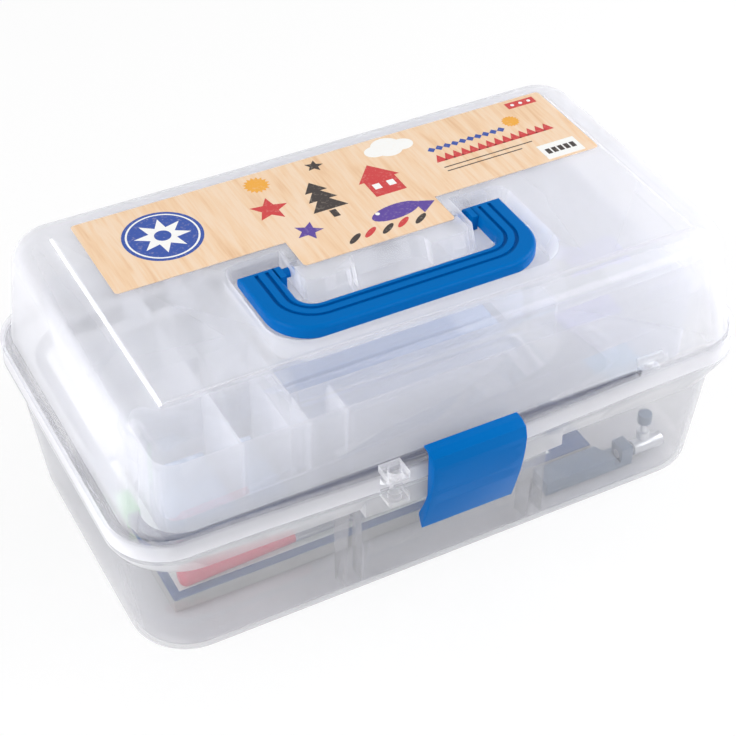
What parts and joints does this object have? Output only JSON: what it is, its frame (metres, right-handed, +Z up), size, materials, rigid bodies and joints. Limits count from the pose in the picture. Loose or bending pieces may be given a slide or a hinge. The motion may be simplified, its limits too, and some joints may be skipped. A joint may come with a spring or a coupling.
{
  "type": "fretsaw blade case",
  "caption": "Translucent tool case with a hinged lid, folding handle, snap latch and lift-out tray, holding a fretsaw bow, saw table, clamp, file and blade packets.",
  "frame": {"origin": "centre of the tub's underside", "axes": "+X along the length, -Y towards the front with the latch, +Z up"},
  "size_m": [0.34, 0.215, 0.1517],
  "materials": {
    "natural_tub": "translucent, injection moulded",
    "natural_lid": "translucent, injection moulded",
    "natural_tray": "translucent, injection moulded",
    "blue_plastic": "satin, moulded",
    "pin_steel": "drawn wire",
    "printed_sheet": "glossy print",
    "bow_steel": "dark enamel",
    "clamp_zinc": "bright plated",
    "band_paper": "printed",
    "table_blue": "painted plywood",
    "grip_red": "moulded",
    "file_steel": "ground",
    "clamp_enamel": "dark enamel",
    "packet_paper": "printed",
    "bag_film": "clear film over small fixings"
  },
  "bodies": {
    "base": {"base_tub": "natural_tub", "hinge_pins": "pin_steel", "fretsaw_bow": "bow_steel", "bow_clamps": "clamp_zinc", "wing_screws": "clamp_zinc", "bow_band": "band_paper", "saw_table": "table_blue", "file_grip": "grip_red", "file_blade": "file_steel", "clamp_frame": "clamp_enamel", "clamp_screw": "clamp_zinc", "clamp_cross_bar": "clamp_zinc", "clamp_knob": "clamp_enamel"},
    "lid": {"lid": "natural_lid", "lid_sheet": "printed_sheet"},
    "handle": {"carry_handle": "blue_plastic"},
    "latch": {"latch": "blue_plastic"},
    "tray": {"lift_out_tray": "natural_tray", "blade_packets": "packet_paper", "hardware_bags": "bag_film"}
  },
  "joints": [
    {"name": "lid_hinge", "type": "hinge", "parent": "base", "child": "lid", "pos_m": [0, 0.1016, 0.08], "axis": [-1, 0, 0], "range_deg": [0, 110]},
    {"name": "handle_swing", "type": "hinge", "parent": "lid", "child": "handle", "pos_m": [0, -0.0065, 0.1445], "axis": [-1, 0, 0], "range_deg": [0, 95]},
    {"name": "latch_swing", "type": "hinge", "parent": "lid", "child": "latch", "pos_m": [0.0023, -0.0992, 0.0932], "axis": [-1, 0, 0], "range_deg": [0, 95]},
    {"name": "tray_lift", "type": "slide", "parent": "base", "child": "tray", "axis": [0, 0, 1], "range_m": [0, 0.018]}
  ]
}
